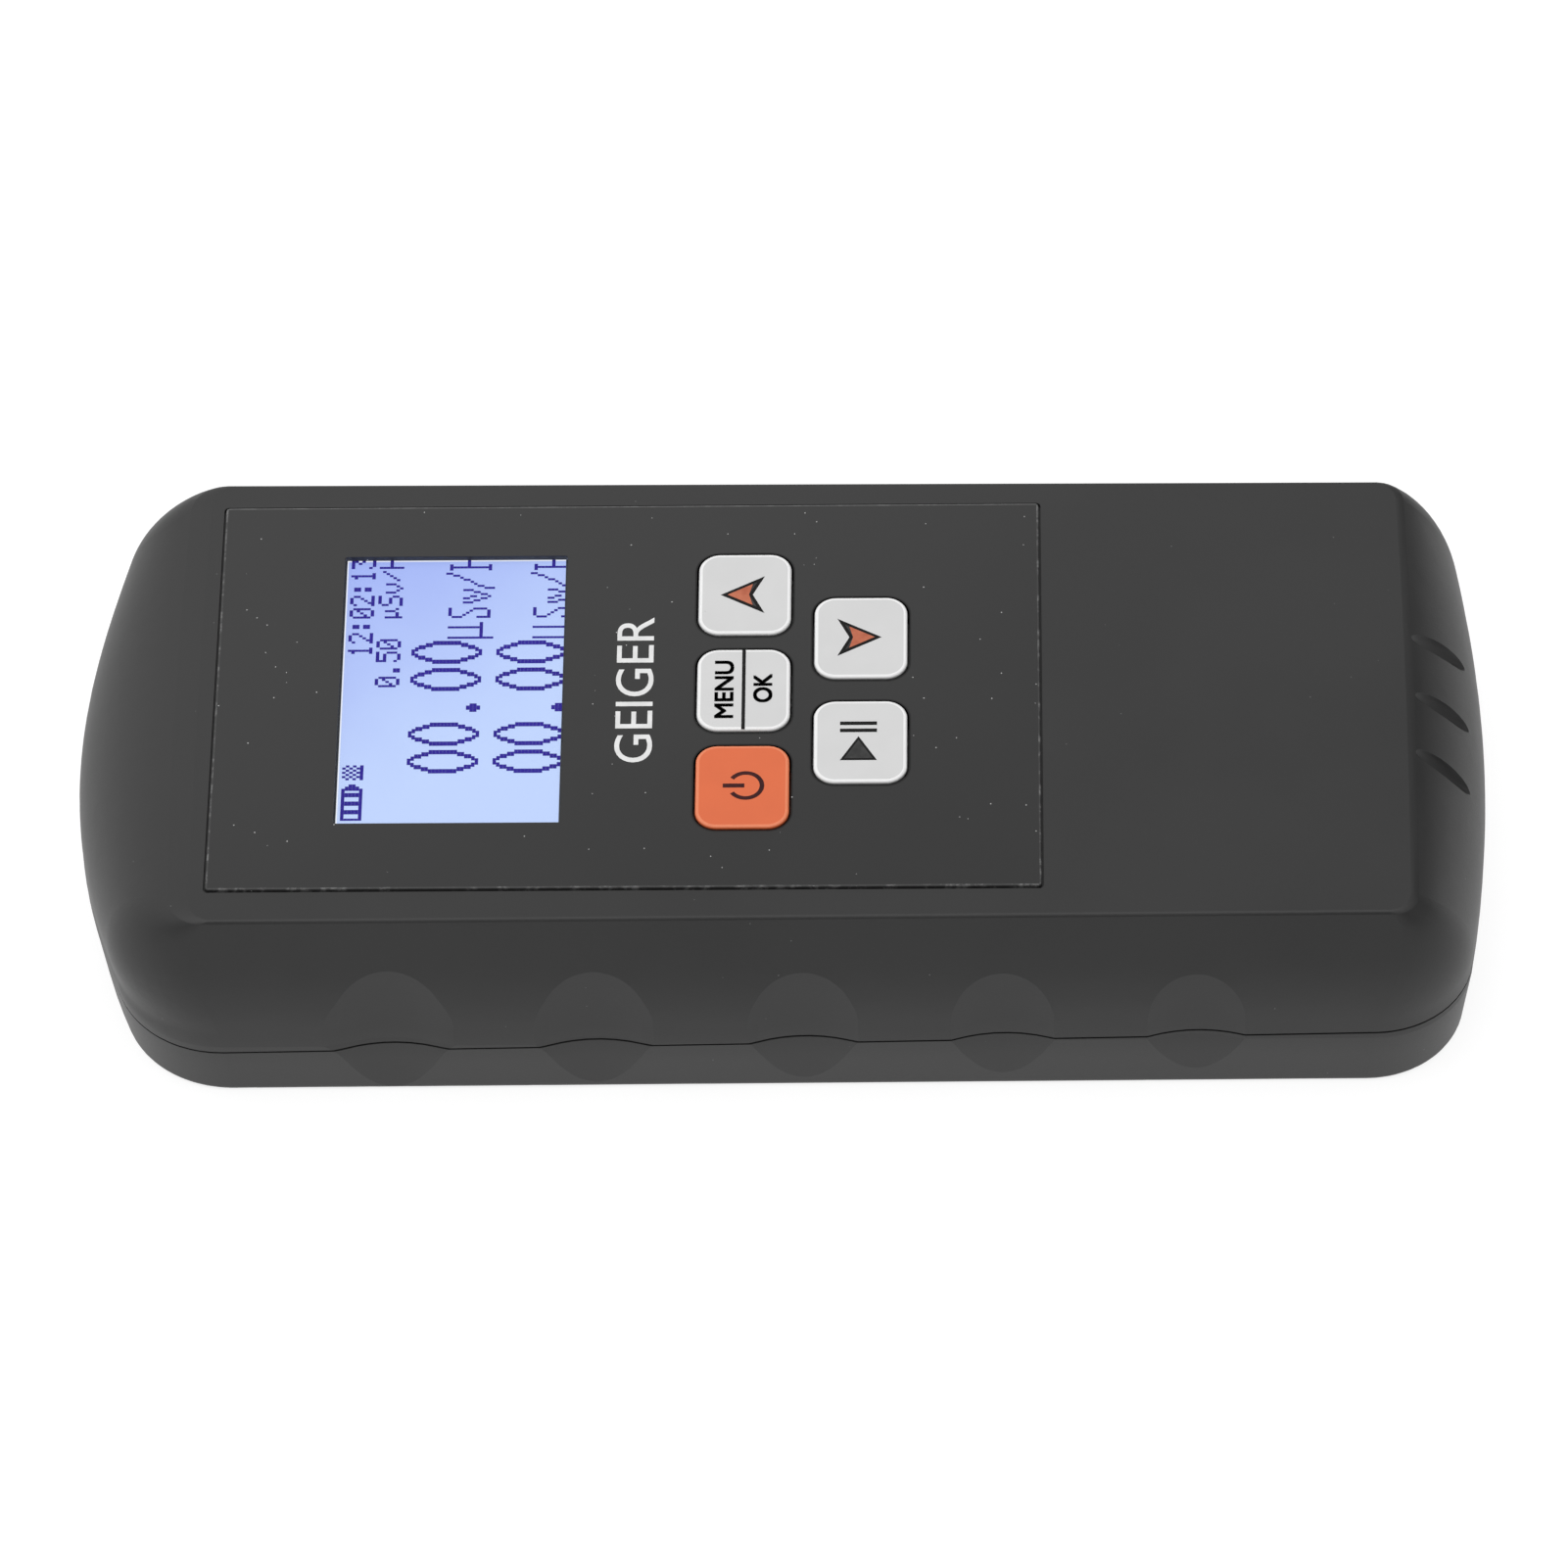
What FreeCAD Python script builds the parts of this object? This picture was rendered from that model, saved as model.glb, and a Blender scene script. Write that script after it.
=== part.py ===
"""Hand-held geiger counter: two-shell case, display, five keys, tube and battery bay.

Millimetres. +X runs to the slotted end, +Z out of the display face, and the
case lies on its back on z = 0 with the origin under the middle of its length.
"""
import FreeCAD
import Part

import math
import os

Vec = FreeCAD.Vector

# Case
case_length = 150.0
face_height = 24.1
parting_height = 7.8
parting_slope = 0.0147
knee_height = 14.4
face_half_width = 30.2
knee_half_width = 33.6
parting_half_width = 33.9
base_half_width = 33.5
side_taper = 0.25
sensor_face_end = -62.0
slot_face_end = 66.6
wall = 2.2
ceiling = 21.8
floor_thickness = 2.2
sensor_dome_base = 12.0
sensor_dome_power = 1.65
slot_dome_base = 11.0
slot_dome_power = 1.2
end_draft = 0.9
sensor_corner = 12.0
slot_corner = 10.5
sensor_bulge = 70.0
slot_bulge = 150.0
face_corner = 2.6
face_bulge = 1250.0
edge_round = 0.3
knee_blend = 3.4
sensor_corner_power = 0.6
slot_corner_power = 1.15
seam_height = 0.24
seam_shrink = 0.012
base_round = 0.7
sensor_end = -case_length / 2
slot_end = case_length / 2

# Finger scallops along both sides
scallop_positions = (-40.8, -19.3, 2.6, 23.5, 43.8)
scallop_depth = 1.0
scallop_radius = 16.0
scallop_blend = 11.0
scallop_flare = 0.11
scallop_draft = 0.045

# Front overlay and display
overlay_left = -59.8
overlay_right = 27.6
overlay_half_width = 26.6
overlay_y = 0.4
overlay_thickness = 0.65
recess_depth = 0.5
recess_gap = 0.22
recess_shift = -0.07
recess_corner = 0.5
overlay_corner = 0.4
overlay_rim_round = 0.15
window_centre = Vec(-34.8, 1.3, 0)
window_length = 23.9
window_width = 37.2
window_corner = 0.3
window_gap = 0.03
window_thickness = 0.45
window_drop = 0.38
glass_length = 29.4
glass_width = 43.4
glass_drop = 0.06
glass_play = 0.3
module_length = 34.0
module_width = 48.0
module_bottom = 17.4
module_gap = 0.05
module_foot_radius = 1.2
module_foot_x = 15.0
module_foot_y = 21.5
ribbon_thickness = 0.3
ribbon_low_y = -12.0
ribbon_high_y = 14.0
ribbon_top = 20.5
cut_bottom = 18.0
cut_top = 30.0

# Keys
key_length = 9.9
key_width = 11.3
key_corner = 2.3
key_gap = 0.22
key_top = 24.5
key_rim_round = 0.3
key_flange_rim = 0.7
key_flange_corner = 2.5
key_flange_bottom = 20.9
key_flange_top = 21.68
key_post_radius = 1.5
key_places = {
    "up": (-3.8, 14.1),
    "menu": (-3.8, 0.7),
    "power": (-3.8, -12.7),
    "down": (8.6, 7.9),
    "play": (8.6, -6.6),
}

# Sound slots in the end slope
slot_fan = (-1, 0, 1)
slot_pitch = 8.3
slot_centre = Vec(70.6, 0, 21.05)
slot_step_back = 0.15
slot_tilt = 46.0
slot_fan_angle = 7.0
slot_half_length = 5.7
slot_half_width = 1.1
slot_half_depth = 1.5
slot_lift = 0.5

# Main board and what stands on it
board_bottom = 14.0
board_top = 15.6
board_left = -56.5
board_right = 57.0
board_half_width = 28.0
board_screw_places = ((-14.5, -24.5), (52.0, -24.5), (-14.5, 24.5), (52.0, 24.5))
board_corner = 3.0
board_hole_radius = 1.2
board_screw_radius = 1.0
board_screw_head_radius = 1.9
board_screw_head_height = 1.3
board_screw_reach = 4.2
board_pilot_radius = 1.05
board_pilot_reach = 4.5
board_boss_radius = 2.6
switch_size = 6.0
switch_height = 3.5
switch_well_radius = 1.85
switch_well_height = 2.2
plunger_radius = 1.75
plunger_foot = 2.9
plunger_top = 20.1
chip_corner = Vec(-11.0, -24.5, 0)
chip_size = 10.0
chip_height = 1.4
coil_place = Vec(-38.0, -8.0, 0)
coil_size = 12.0
coil_bottom = 7.0
coil_waist_size = 14.0
coil_waist_bottom = 8.6
coil_waist_top = 12.2
coil_spool_size = 9.6
coil_corner = 2.0
capacitor_left = -26.0
capacitor_right = -15.5
capacitor_y = -20.0
capacitor_radius = 3.0
capacitor_gap = 0.1
buzzer_x = 50.0
buzzer_radius = 6.0
buzzer_top = 21.0
buzzer_round = 0.5
buzzer_hole_radius = 1.2
buzzer_hole_depth = 1.5

# Geiger tube
tube_radius = 4.8
tube_cap_radius = 5.0
tube_cap_length = 6.0
tube_left = -54.0
tube_length = 88.0
tube_y = 25.3
tube_z = 7.4
tube_cap_round = 0.8
clip_half_width = 1.5
clip_inset = 3.0
clip_inner_reach = 5.7
clip_outer_reach = 2.5
clip_drop = 1.5
clip_play = 0.02

# Battery bay: three AAA cells side by side
cell_radius = 5.25
cell_length = 44.5
cell_left = 18.2
cell_pitch = 11.1
cell_z = 7.75
cell_round = 0.5
nub_length = 0.8
nub_radius = 1.9
spring_radius = 2.9
spring_wire_radius = 0.33
spring_pitch = 0.82
spring_turns = 4
spring_first = 0.35
plate_thickness = 0.4
plate_gap = 0.05
plate_half_width = 4.2
plate_half_height = 3.6
plate_dome_radius = 2.2
bay_left = 14.6
bay_right = 66.4
bay_half_width = 17.6
door_left = 14.0
door_half_width = 17.0
door_gap = 0.15
tongue = 1.2
tongue_bottom = 0.9
tongue_top = 1.6
rail_right = 68.0
rail_width = 2.6
rail_overlap = 1.0
rail_top = 3.2
rail_sink = 0.2
bay_rib = 1.4
bay_rib_top = 6.6
bay_end_top = 12.4
bay_sill = 0.4
grip_count = 5
grip_first_x = 56.0
grip_pitch = 2.4
grip_width = 1.1
grip_half_length = 8.0
grip_depth = 0.4
past_end = 90.0

# Case screws
boss_radius = 3.5
boss_root = 0.5
boss_gap = 0.8
post_gap = 0.7
post_foot = 1.5
pilot_radius = 1.35
pilot_top = 17.0
screw_hole_radius = 1.6
screw_hole_top = 9.5
screw_sink_radius = 3.0
screw_sink_depth = 1.9
screw_radius = 1.3
screw_top = 15.5
screw_head_radius = 2.7
screw_head_bottom = 0.5
screw_cross_half = 2.0
screw_cross_thin = 0.3
screw_cross_top = 1.1
case_screw_places = ((-61.0, -25.5), (-61.0, 25.5), (62.0, -25.5), (62.0, 25.5))


def box(x0, x1, y0, y1, z0, z1):
    return Part.makeBox(x1 - x0, y1 - y0, z1 - z0, Vec(x0, y0, z0))


def rounded_block(x, y, length, width, corner, z0, z1):
    """Block centred on x, y with upright corners rounded."""
    block = box(x - length / 2, x + length / 2, y - width / 2, y + width / 2, z0, z1)
    upright = [edge for edge in block.Edges if abs(edge.Vertexes[0].Z - edge.Vertexes[1].Z) > 1e-6]
    return block.makeFillet(corner, upright)


def rod(x, y, z0, z1, radius):
    return Part.makeCylinder(radius, z1 - z0, Vec(x, y, z0))


def rod_along_x(x0, x1, y, z, radius):
    return Part.makeCylinder(radius, x1 - x0, Vec(x0, y, z), Vec(1, 0, 0))


def fuse_all(shapes):
    joined = shapes[0]
    for shape in shapes[1:]:
        joined = joined.fuse(shape)
    return joined.removeSplitter()


def cut_all(body, cutters):
    for cutter in cutters:
        body = body.cut(cutter)
    return body


def save(name, shape):
    """Write one node, as its plain solids."""
    solids = shape.Solids
    kept = solids[0] if len(solids) == 1 else Part.makeCompound(solids)
    kept.exportStep("parts/" + name + ".step")
    state = "ok" if kept.isValid() else "NOT VALID"
    print(name, len(solids), "solids", round(kept.Volume, 1), "mm3", state)


# ---- the case outline at any height ----

def blend(low, high, share):
    return low + (high - low) * share


def half_width_at(z):
    """Half width at height z: straight above and below the knee, rounded across it."""
    if z < parting_height:
        return blend(base_half_width, parting_half_width, z / parting_height)
    upper_slope = (knee_half_width - face_half_width) / (face_height - knee_height)
    lower_slope = (parting_half_width - knee_half_width) / (knee_height - parting_height)
    above = max(0.0, min(2 * knee_blend, z - knee_height + knee_blend))
    rounding = (upper_slope - lower_slope) * above ** 2 / (4 * knee_blend)
    beyond = (upper_slope - lower_slope) * max(0.0, z - knee_height - knee_blend)
    return parting_half_width - lower_slope * (z - parting_height) - rounding - beyond


def dome_at(z, base, power):
    """Share of an end's bulge reached at height z: 0 at the face, 1 at the dome's base."""
    rise = min(1.0, max(0.0, (z - base) / (face_height - base)))
    return (1.0 - rise ** 2) ** (1.0 / power)


def ends_at(z):
    left = blend(sensor_face_end, sensor_end, dome_at(z, sensor_dome_base, sensor_dome_power))
    right = blend(slot_face_end, slot_end, dome_at(z, slot_dome_base, slot_dome_power))
    draft = max(0.0, 1.0 - z / parting_height)
    return left + end_draft * draft, right - end_draft * draft


def drop_at(z):
    """Share of the way down from the face to the parting line, eased so it ends smoothly."""
    return math.sin(math.pi / 2 * min(1.0, (face_height - z) / (face_height - parting_height)))


def corner_at(z):
    share = drop_at(z)
    left = blend(face_corner, sensor_corner, share ** sensor_corner_power)
    right = blend(face_corner, slot_corner, share ** slot_corner_power)
    return left, right


def bulge_at(z):
    """Plan radius of the left and right ends."""
    share = drop_at(z)
    left = blend(1.0 / face_bulge, 1.0 / sensor_bulge, share)
    right = blend(1.0 / face_bulge, 1.0 / slot_bulge, share)
    return 1.0 / left, 1.0 / right


def end_arc(end_x, bulge, corner, half, side):
    """Tangent points of one end: on the side line, at mid corner, and on the end arc."""
    centre_x = end_x - side * bulge
    reach = math.sqrt((bulge - corner) ** 2 - (half - corner) ** 2)
    corner_x = centre_x + side * reach
    corner_y = half - corner
    angle = math.atan2(corner_y, reach)
    on_arc = Vec(centre_x + side * bulge * math.cos(angle), bulge * math.sin(angle), 0)
    middle = (angle + math.pi / 2) / 2
    mid = Vec(corner_x + side * corner * math.cos(middle), corner_y + corner * math.sin(middle), 0)
    return Vec(corner_x, half, 0), mid, on_arc


def flip(point):
    return Vec(point.x, -point.y, 0)


def outline(z, inset=0.0):
    """Closed case outline at height z, pulled in by inset."""
    half = half_width_at(z) - inset
    left, right = ends_at(z)
    left = left + inset
    right = right - inset
    left_corner, right_corner = corner_at(z)
    left_bulge, right_bulge = bulge_at(z)
    left_corner = max(1.0, left_corner - inset)
    right_corner = max(1.0, right_corner - inset)
    line_r, mid_r, arc_r = end_arc(right, right_bulge - inset, right_corner, half - side_taper, 1)
    line_l, mid_l, arc_l = end_arc(left, left_bulge - inset, left_corner, half + side_taper, -1)
    edges = [
        Part.makeLine(flip(line_l), flip(line_r)),
        Part.Arc(flip(line_r), flip(mid_r), flip(arc_r)).toShape(),
        Part.Arc(flip(arc_r), Vec(right, 0, 0), arc_r).toShape(),
        Part.Arc(arc_r, mid_r, line_r).toShape(),
        Part.makeLine(line_r, line_l),
        Part.Arc(line_l, mid_l, arc_l).toShape(),
        Part.Arc(arc_l, Vec(left, 0, 0), flip(arc_l)).toShape(),
        Part.Arc(flip(arc_l), flip(mid_l), flip(line_l)).toShape(),
    ]
    wire = Part.Wire(edges)
    wire.translate(Vec(0, 0, z))
    return wire


def loft(levels, ruled=False):
    """Solid through outlines given as (height, inset)."""
    return Part.makeLoft([outline(z, inset) for z, inset in levels], True, ruled)


def dome_height(angle):
    return parting_height + (face_height - parting_height) * math.sin(math.radians(angle))


def outer_body():
    shoulder = face_height - edge_round
    upper = [(parting_height, 0), (9.5, 0), (11.2, 0), (12.8, 0), (14.4, 0), (16.0, 0), (17.6, 0), (19.2, 0)]
    upper = upper + [(20.6, 0), (21.8, 0), (22.7, 0), (23.4, 0), (shoulder, 0)]
    rim = [(shoulder, 0), (face_height - 0.3 * edge_round, 0.3 * edge_round), (face_height, edge_round)]
    base = [(0, base_round), (0.3 * base_round, 0.3 * base_round), (base_round, 0)]
    lofts = [
        loft(base),
        loft([(base_round, 0), (parting_height, 0)], True),
        loft(upper),
        loft(rim),
    ]
    return cut_all(fuse_all(lofts), scallop_cutters())


def inner_body():
    levels = [(floor_thickness, wall), (parting_height, wall), (knee_height, wall)]
    levels = levels + [(dome_height(45), wall), (ceiling, wall)]
    return loft(levels, True)


def scallop_cutters():
    """Cutters that press five finger hollows into each side.

    Each leans slightly in above the parting plane and out below it, so the base stays straight.
    """
    wall_y = parting_half_width + side_taper
    depth = scallop_depth + side_taper
    reach = scallop_radius + scallop_blend
    half = math.sqrt(reach ** 2 - (reach - depth) ** 2)
    swing = math.asin(half / reach)
    join = Vec(scallop_radius * math.sin(swing), wall_y - depth + scallop_radius * (1 - math.cos(swing)), 0)
    blend_mid = Vec(half - scallop_blend * math.sin(swing / 2),
                    wall_y - scallop_blend * (1 - math.cos(swing / 2)), 0)
    cutters = []
    for x in scallop_positions:
        for side in (-1, 1):
            def place(point, mirror):
                return Vec(x + mirror * point.x, side * point.y, -1)
            start = Vec(half, wall_y, 0)
            outside = Vec(half, wall_y + 3, 0)
            deepest = Vec(0, wall_y - depth, 0)
            edges = [
                Part.Arc(place(start, -1), place(blend_mid, -1), place(join, -1)).toShape(),
                Part.Arc(place(join, -1), place(deepest, 1), place(join, 1)).toShape(),
                Part.Arc(place(join, 1), place(blend_mid, 1), place(start, 1)).toShape(),
                Part.makeLine(place(start, 1), place(outside, 1)),
                Part.makeLine(place(outside, 1), place(outside, -1)),
                Part.makeLine(place(outside, -1), place(start, -1)),
            ]
            face = Part.Face(Part.Wire(edges))
            face.translate(Vec(0, 0, 1 + parting_height))
            drop = parting_height + 0.5
            cutters.append(face.extrude(Vec(0, -side * scallop_draft * face_height, face_height)))
            cutters.append(face.extrude(Vec(0, side * scallop_flare * drop, -drop)))
    return cutters


def parting_at(x):
    return parting_height + parting_slope * x


def below_parting():
    """Block that fills everything under the slightly sloping parting plane."""
    reach = past_end
    low = parting_at(-reach)
    high = parting_at(reach)
    lower = [Vec(-reach, -reach, -5), Vec(reach, -reach, -5)]
    upper = [Vec(reach, -reach, high), Vec(-reach, -reach, low)]
    face = Part.Face(Part.makePolygon(lower + upper + lower[:1]))
    return face.extrude(Vec(0, 2 * reach, 0))


def seam_cutter(outer):
    """Thin ring just under the parting plane, cut into the bottom shell's rim all round."""
    band = below_parting().cut(below_parting().translated(Vec(0, 0, -seam_height)))
    squeeze = FreeCAD.Matrix()
    squeeze.scale(Vec(1 - seam_shrink * knee_half_width / (case_length / 2), 1 - seam_shrink, 1))
    return band.cut(outer.transformGeometry(squeeze))


def sound_slot(order):
    """Shallow grooved louvre laid along the end slope; order is -1, 0 or 1."""
    stretch = FreeCAD.Matrix()
    stretch.scale(Vec(slot_half_length, slot_half_width, slot_half_depth))
    groove = Part.makeSphere(1.0).transformGeometry(stretch)
    groove.translate(Vec(0, 0, slot_lift))
    groove.rotate(Vec(0, 0, 0), Vec(0, 1, 0), slot_tilt)
    groove.rotate(Vec(0, 0, 0), Vec(0, 0, 1), slot_fan_angle * order)
    groove.translate(slot_centre + Vec(-slot_step_back * abs(order), order * slot_pitch, 0))
    return groove


# ---- case parts ----

def key_opening(x, y):
    length = key_length + 2 * key_gap
    width = key_width + 2 * key_gap
    return rounded_block(x, y, length, width, key_corner + key_gap, cut_bottom, cut_top)


def make_top_shell(outer, inner):
    shell = outer.cut(inner).cut(below_parting())
    bosses = []
    for x, y in case_screw_places:
        bosses.append(rod(x, y, parting_at(x) + boss_gap, ceiling + boss_root, boss_radius))
    for x, y in board_screw_places:
        bosses.append(rod(x, y, board_top, ceiling + boss_root, board_boss_radius))
    shell = fuse_all([shell] + bosses)
    cutters = []
    for x, y in case_screw_places:
        cutters.append(rod(x, y, floor_thickness, pilot_top, pilot_radius))
    for x, y in board_screw_places:
        cutters.append(rod(x, y, board_top - 1, board_top + board_pilot_reach, board_pilot_radius))
    recess_length = overlay_right - overlay_left + 2 * recess_gap
    recess_width = 2 * (overlay_half_width + recess_gap)
    middle = (overlay_left + overlay_right) / 2
    recess_floor = face_height - recess_depth
    recess_y = overlay_y + recess_shift
    recess = (middle, recess_y, recess_length, recess_width, recess_corner, recess_floor, cut_top)
    cutters.append(rounded_block(*recess))
    glass_bed = (window_centre.x, window_centre.y, glass_length + glass_play, glass_width + glass_play)
    cutters.append(rounded_block(*glass_bed, recess_corner, cut_bottom, cut_top))
    for x, y in key_places.values():
        cutters.append(key_opening(x, y))
    for order in slot_fan:
        cutters.append(sound_slot(order))
    return cut_all(shell, cutters)


def make_bottom_shell(outer, inner):
    shell = outer.cut(inner).common(below_parting())
    additions = []
    for x, y in case_screw_places:
        additions.append(rod(x, y, post_foot, parting_at(x) + post_gap, boss_radius))
    rib_half = bay_half_width + bay_rib
    for y in (-rib_half, bay_half_width):
        additions.append(box(bay_left, bay_right, y, y + bay_rib, floor_thickness, bay_rib_top))
    additions.append(box(bay_left - bay_rib, bay_left, -rib_half, rib_half, post_foot, bay_end_top))
    sill = floor_thickness + bay_sill
    additions.append(box(bay_right, bay_right + bay_rib, -rib_half, rib_half, sill, bay_end_top))
    rail = door_half_width + tongue
    for y in (-rail + rail_overlap - rail_width, rail - rail_overlap):
        rail_bottom = floor_thickness - rail_sink
        additions.append(box(door_left - bay_rib, rail_right, y, y + rail_width, rail_bottom, rail_top))
    shell = fuse_all([shell] + additions)
    reach = door_half_width + door_gap
    cutters = [box(door_left, past_end, -reach, reach, -1, floor_thickness + door_gap)]
    reach = rail + door_gap
    cutters.append(box(door_left, past_end, -reach, reach, tongue_bottom - door_gap, tongue_top + door_gap))
    for x, y in case_screw_places:
        cutters.append(rod(x, y, -1, screw_hole_top, screw_hole_radius))
        cutters.append(rod(x, y, -1, screw_sink_depth, screw_sink_radius))
    return cut_all(shell, cutters + [seam_cutter(outer)])


def make_battery_door(outer):
    left = door_left + door_gap
    slab = outer.common(box(left, past_end, -door_half_width, door_half_width, -1, floor_thickness))
    rail = door_half_width + tongue
    tongues = outer.common(box(left, past_end, -rail, rail, tongue_bottom, tongue_top))
    grips = []
    for count in range(grip_count):
        x = grip_first_x + grip_pitch * count
        grips.append(box(x, x + grip_width, -grip_half_length, grip_half_length, -1, grip_depth))
    return cut_all(fuse_all([slab, tongues]), grips)


def make_overlay():
    middle = (overlay_left + overlay_right) / 2
    bottom = face_height - recess_depth
    top = bottom + overlay_thickness
    length = overlay_right - overlay_left
    plate = rounded_block(middle, overlay_y, length, 2 * overlay_half_width, overlay_corner, bottom, top)
    rim = [edge for edge in plate.Edges if edge.BoundBox.ZMin > top - 1e-4]
    plate = plate.makeFillet(overlay_rim_round, rim)
    x = window_centre.x
    y = window_centre.y
    cutters = [rounded_block(x, y, window_length, window_width, window_corner, cut_bottom, cut_top)]
    for x, y in key_places.values():
        cutters.append(key_opening(x, y))
    return cut_all(plate, cutters)


def make_display_window():
    length = window_length - 2 * window_gap
    width = window_width - 2 * window_gap
    bottom = face_height - window_drop
    top = bottom + window_thickness
    corner = window_corner - window_gap
    return rounded_block(window_centre.x, window_centre.y, length, width, corner, bottom, top)


def make_display_glass():
    x = window_centre.x
    y = window_centre.y
    top = face_height - recess_depth - glass_drop
    return rounded_block(x, y, glass_length, glass_width, recess_corner, ceiling, top)


def make_display_frame():
    x = window_centre.x
    y = window_centre.y
    block = rounded_block(x, y, module_length, module_width, 1.0, module_bottom, ceiling - module_gap)
    feet = []
    for foot_x in (x - module_foot_x, x + module_foot_x):
        for foot_y in (y - module_foot_y, y + module_foot_y):
            feet.append(rod(foot_x, foot_y, board_top, module_bottom + 0.1, module_foot_radius))
    return fuse_all([block] + feet)


def make_display_ribbon():
    left = window_centre.x + module_length / 2 + module_gap
    return box(left, left + ribbon_thickness, ribbon_low_y, ribbon_high_y, board_top, ribbon_top)


# ---- keys and their switches ----

def make_key(x, y):
    cap = rounded_block(x, y, key_length, key_width, key_corner, key_flange_bottom, key_top)
    rim = [edge for edge in cap.Edges if edge.BoundBox.ZMin > key_top - 1e-4]
    cap = cap.makeFillet(key_rim_round, rim)
    length = key_length + 2 * key_flange_rim
    width = key_width + 2 * key_flange_rim
    flange = rounded_block(x, y, length, width, key_flange_corner, key_flange_bottom, key_flange_top)
    post = rod(x, y, plunger_top, key_flange_top, key_post_radius)
    return fuse_all([cap, flange, post])


def make_switch(x, y):
    half = switch_size / 2
    body = box(x - half, x + half, y - half, y + half, board_top, board_top + switch_height)
    return body.cut(rod(x, y, board_top + switch_well_height, cut_top, switch_well_radius))


def make_plunger(x, y):
    return rod(x, y, board_top + plunger_foot, plunger_top, plunger_radius)


# ---- electronics ----

def make_board():
    middle = (board_left + board_right) / 2
    length = board_right - board_left
    board = rounded_block(middle, 0, length, 2 * board_half_width, board_corner, board_bottom, board_top)
    holes = [rod(x, y, board_bottom - 1, board_top + 1, board_hole_radius) for x, y in board_screw_places]
    return cut_all(board, holes)


def make_board_screws():
    screws = []
    head_bottom = board_bottom - board_screw_head_height
    for x, y in board_screw_places:
        shank = rod(x, y, head_bottom, board_top + board_screw_reach, board_screw_radius)
        head = rod(x, y, head_bottom, board_bottom, board_screw_head_radius)
        screws.append(head.fuse(shank).removeSplitter())
    return Part.makeCompound(screws)


def make_case_screws():
    screws = []
    wide = screw_cross_half
    thin = screw_cross_thin
    for x, y in case_screw_places:
        shank = rod(x, y, screw_head_bottom, screw_top, screw_radius)
        head = rod(x, y, screw_head_bottom, screw_sink_depth, screw_head_radius)
        along = box(x - wide, x + wide, y - thin, y + thin, 0, screw_cross_top)
        across = box(x - thin, x + thin, y - wide, y + wide, 0, screw_cross_top)
        screws.append(head.fuse(shank).removeSplitter().cut(along.fuse(across)))
    return Part.makeCompound(screws)


def make_chip():
    x = chip_corner.x
    y = chip_corner.y
    return box(x, x + chip_size, y, y + chip_size, board_bottom - chip_height, board_bottom)


def make_step_up_coil():
    """Flanged ferrite core: a block with a groove round its waist."""
    x = coil_place.x
    y = coil_place.y
    core = rounded_block(x, y, coil_size, coil_size, coil_corner, coil_bottom, board_bottom)
    size = coil_waist_size
    waist = rounded_block(x, y, size, size, coil_corner, coil_waist_bottom, coil_waist_top)
    size = coil_spool_size
    spool = rounded_block(x, y, size, size, coil_corner, coil_bottom, board_bottom)
    return core.cut(waist.cut(spool))


def make_tube_capacitor():
    z = board_bottom - capacitor_radius - capacitor_gap
    return rod_along_x(capacitor_left, capacitor_right, capacitor_y, z, capacitor_radius)


def make_buzzer():
    can = rod(buzzer_x, 0, board_top, buzzer_top, buzzer_radius)
    rim = [edge for edge in can.Edges if edge.BoundBox.ZMin > buzzer_top - 1e-4]
    can = can.makeFillet(buzzer_round, rim)
    return can.cut(rod(buzzer_x, 0, buzzer_top - buzzer_hole_depth, cut_top, buzzer_hole_radius))


def make_geiger_tube():
    left = tube_left + tube_cap_length
    right = tube_left + tube_length - tube_cap_length
    return rod_along_x(left, right, tube_y, tube_z, tube_radius)


def make_tube_cap(x, direction):
    """Metal end cap from its outer face at x towards the glass."""
    inner_x = x + direction * tube_cap_length
    low = min(x, inner_x)
    cap = rod_along_x(low, low + tube_cap_length, tube_y, tube_z, tube_cap_radius)
    rim = []
    for edge in cap.Edges:
        bounds = edge.BoundBox
        if bounds.XLength < 1e-3 and abs(bounds.XMin - x) < 1e-3:
            rim.append(edge)
    return cap.makeFillet(tube_cap_round, rim)


def make_tube_clip(x):
    low = x - clip_half_width
    high = x + clip_half_width
    y0 = tube_y - clip_inner_reach
    y1 = tube_y + clip_outer_reach
    clip = box(low, high, y0, y1, tube_z - clip_drop, board_bottom)
    return clip.cut(rod_along_x(low - 1, high + 1, tube_y, tube_z, tube_cap_radius + clip_play))


# ---- battery bay ----

def cell_y(number):
    return cell_pitch * (number - 2)


def make_cell(number):
    """The outer cells point to +X, the middle one points back."""
    y = cell_y(number)
    right = cell_left + cell_length
    if number == 2:
        can = rod_along_x(cell_left + nub_length, right, y, cell_z, cell_radius)
    else:
        can = rod_along_x(cell_left, right - nub_length, y, cell_z, cell_radius)
    button = rod_along_x(cell_left, right, y, cell_z, nub_radius)
    rims = [edge for edge in can.Edges if edge.BoundBox.XLength < 1e-3]
    return fuse_all([can.makeFillet(cell_round, rims), button])


def make_cell_spring(number):
    """Ring stack between the bay wall and the flat end of a cell, joined by a bar along one side."""
    y = cell_y(number)
    at_right = number == 2
    start = cell_left + cell_length if at_right else cell_left
    step = 1 if at_right else -1
    places = [start + step * (spring_first + spring_pitch * turn) for turn in range(spring_turns)]
    rings = []
    for x in places:
        rings.append(Part.makeTorus(spring_radius, spring_wire_radius, Vec(x, y, cell_z), Vec(1, 0, 0)))
    bar_radius = 0.9 * spring_wire_radius
    rings.append(rod_along_x(min(places), max(places), y, cell_z + spring_radius, bar_radius))
    return fuse_all(rings)


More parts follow.
